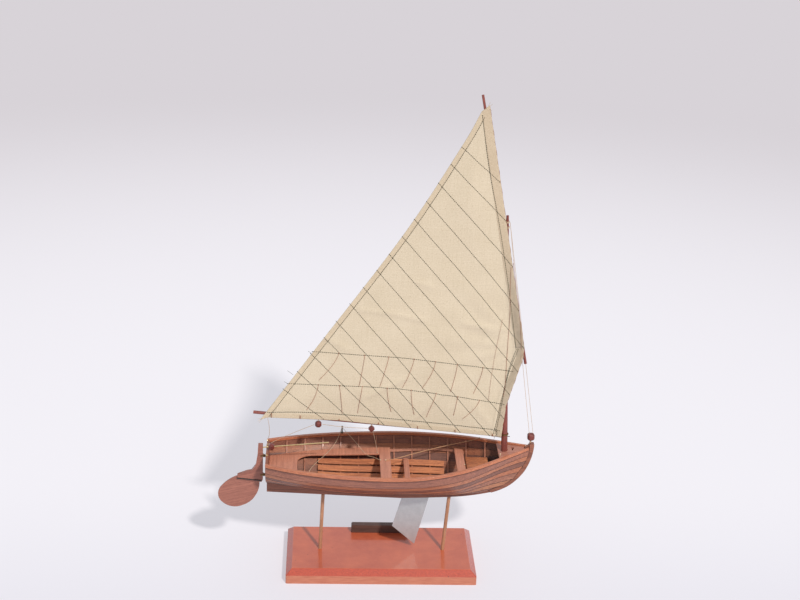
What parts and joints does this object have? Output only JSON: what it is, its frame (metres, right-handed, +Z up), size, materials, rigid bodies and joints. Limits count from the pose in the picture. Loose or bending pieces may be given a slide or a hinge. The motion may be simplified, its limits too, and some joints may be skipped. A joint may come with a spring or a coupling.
{
  "type": "sailing dinghy model",
  "caption": "Wooden display model of a clinker-built sailing dinghy with lug sail, steering rudder and centreboard, on posts over a bevelled base.",
  "frame": {"origin": "middle of the base's underside, which stands on the table", "axes": "+X from stern to bow, +Y to port, +Z up"},
  "size_m": [0.3973, 0.138, 0.6171],
  "materials": {
    "base_lacquer": "gloss lacquer",
    "thread": "twisted thread",
    "spar_wood": "satin varnish",
    "floor_wood": "satin varnish",
    "bench_wood": "satin varnish",
    "board_metal": "satin",
    "dark_metal": "satin",
    "brass": "satin",
    "keel_wood": "satin varnish",
    "dark_wood": "satin",
    "post_wood": "satin",
    "rail_wood": "satin varnish",
    "rib_wood": "satin varnish",
    "rudder_wood": "satin varnish",
    "sailcloth": "plain weave",
    "bead_wood": "gloss varnish",
    "plank_wood": "satin varnish",
    "transom_wood": "satin varnish"
  },
  "bodies": {
    "hull_and_stand": {"base_board": "base_lacquer", "bottom_boards": "floor_wood", "centre_thwart": "bench_wood", "centreboard": "board_metal", "fore_sole": "floor_wood", "fore_thwart": "bench_wood", "foredeck": "bench_wood", "forestay": "thread", "gudgeons": "brass", "keel": "keel_wood", "mast": "spar_wood", "mast_pin": "dark_metal", "mast_step": "floor_wood", "name_block": "dark_wood", "post_aft": "post_wood", "post_fore": "post_wood", "rails": "rail_wood", "ribs": "rib_wood", "risers": "rib_wood", "stanchion": "dark_metal", "stem": "keel_wood", "stem_bead": "bead_wood", "stem_seizing": "thread", "stern_bench": "bench_wood", "strake_1": "plank_wood", "strake_2": "plank_wood", "strake_3": "plank_wood", "strake_4": "plank_wood", "strake_5": "plank_wood", "strake_6": "plank_wood", "strake_7": "plank_wood", "stretcher": "bench_wood", "transom": "transom_wood"},
    "rudder": {"pintles": "brass", "rudder_blade": "rudder_wood", "rudder_stock": "rudder_wood", "tiller": "brass", "tiller_bead": "bead_wood"},
    "rig": {"block_strops": "thread", "boom": "spar_wood", "gooseneck": "dark_metal", "sail": "sailcloth", "sheet_blocks": "bead_wood", "yard": "spar_wood", "yard_parrel": "thread"}
  },
  "joints": [
    {"name": "rudder_steer", "type": "hinge", "parent": "hull_and_stand", "child": "rudder", "pos_m": [-0.1496, 0, 0.134], "axis": [0, 0, 1], "range_deg": [-35, 35]},
    {"name": "rig_swing", "type": "hinge", "parent": "hull_and_stand", "child": "rig", "pos_m": [0.1525, 0, 0.1609], "axis": [0.0427, 0, -0.9991], "range_deg": [0, 40]}
  ]
}
